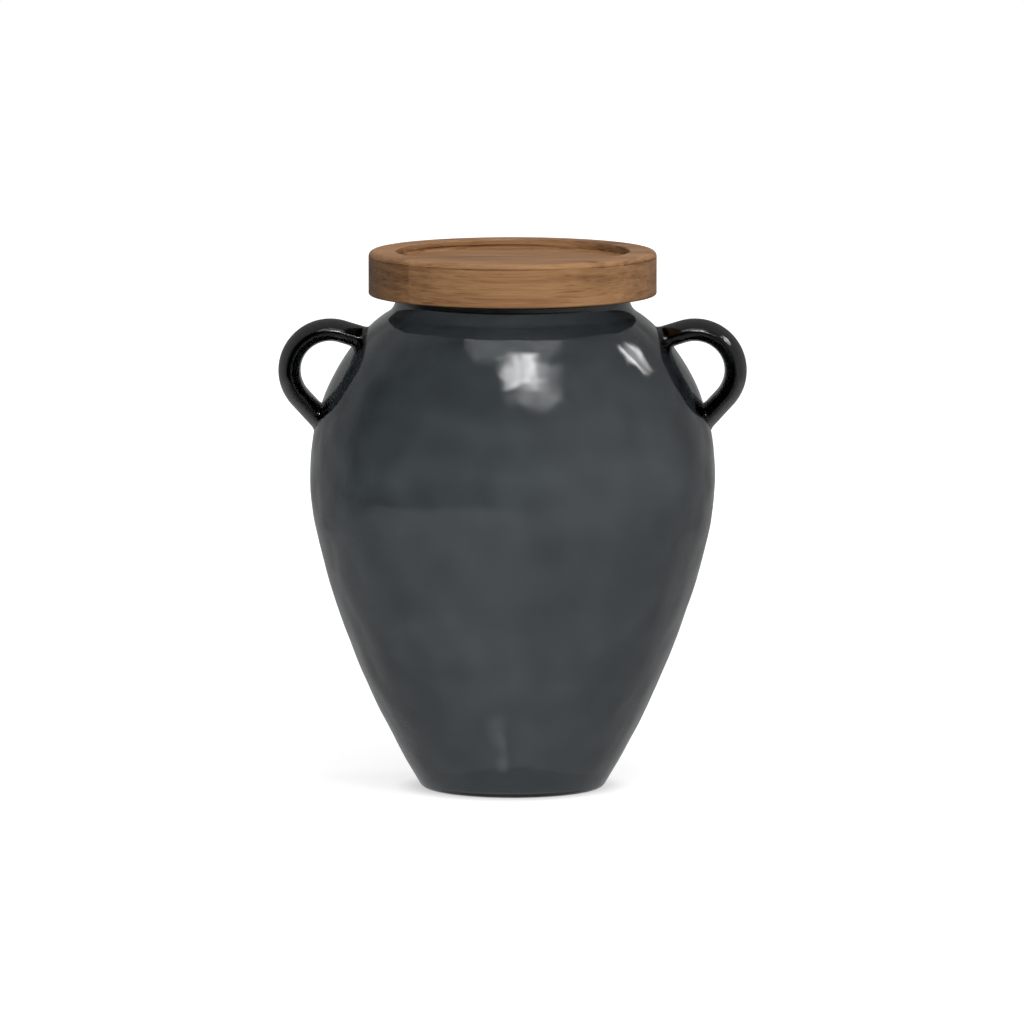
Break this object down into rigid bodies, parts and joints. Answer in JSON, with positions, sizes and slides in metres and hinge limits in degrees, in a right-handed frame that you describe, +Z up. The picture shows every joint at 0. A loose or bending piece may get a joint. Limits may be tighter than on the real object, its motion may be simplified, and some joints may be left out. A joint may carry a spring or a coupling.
{
  "type": "lidded glass jar",
  "caption": "Round smoke-glass jar with a narrow foot, wide belly, small loop handles at the shoulder and a dished wooden lid that lifts off.",
  "frame": {"origin": "on the surface that the jar stands on, in the middle of the foot", "axes": "+Z up along the jar's axis, X through the two handles, -Y the front"},
  "size_m": [0.234, 0.2032, 0.2695],
  "materials": {
    "smoke_glass": "clear smoke-grey, hand blown, glossy",
    "handle_glass": "solid smoke-grey strap, nearly black, glossy",
    "lid_wood": "oiled, satin, straight grain with small knots",
    "plug_wood": "oiled, satin",
    "silicone": "translucent silicone, matt"
  },
  "bodies": {
    "jar": {"glass_body": "smoke_glass", "handle_left": "handle_glass", "handle_right": "handle_glass"},
    "seal": {"seal_ring": "silicone"},
    "lid": {"lid_board_front": "lid_wood", "lid_board_middle": "lid_wood", "lid_board_back": "lid_wood", "lid_plug": "plug_wood"}
  },
  "joints": [
    {"name": "lid_lift", "type": "slide", "parent": "jar", "child": "seal", "axis": [0, 0, 1], "range_m": [0, 0.08]},
    {"name": "lid_turn", "type": "hinge", "parent": "seal", "child": "lid", "pos_m": [0, 0, 0.2476], "axis": [0, 0, 1], "continuous": true}
  ]
}
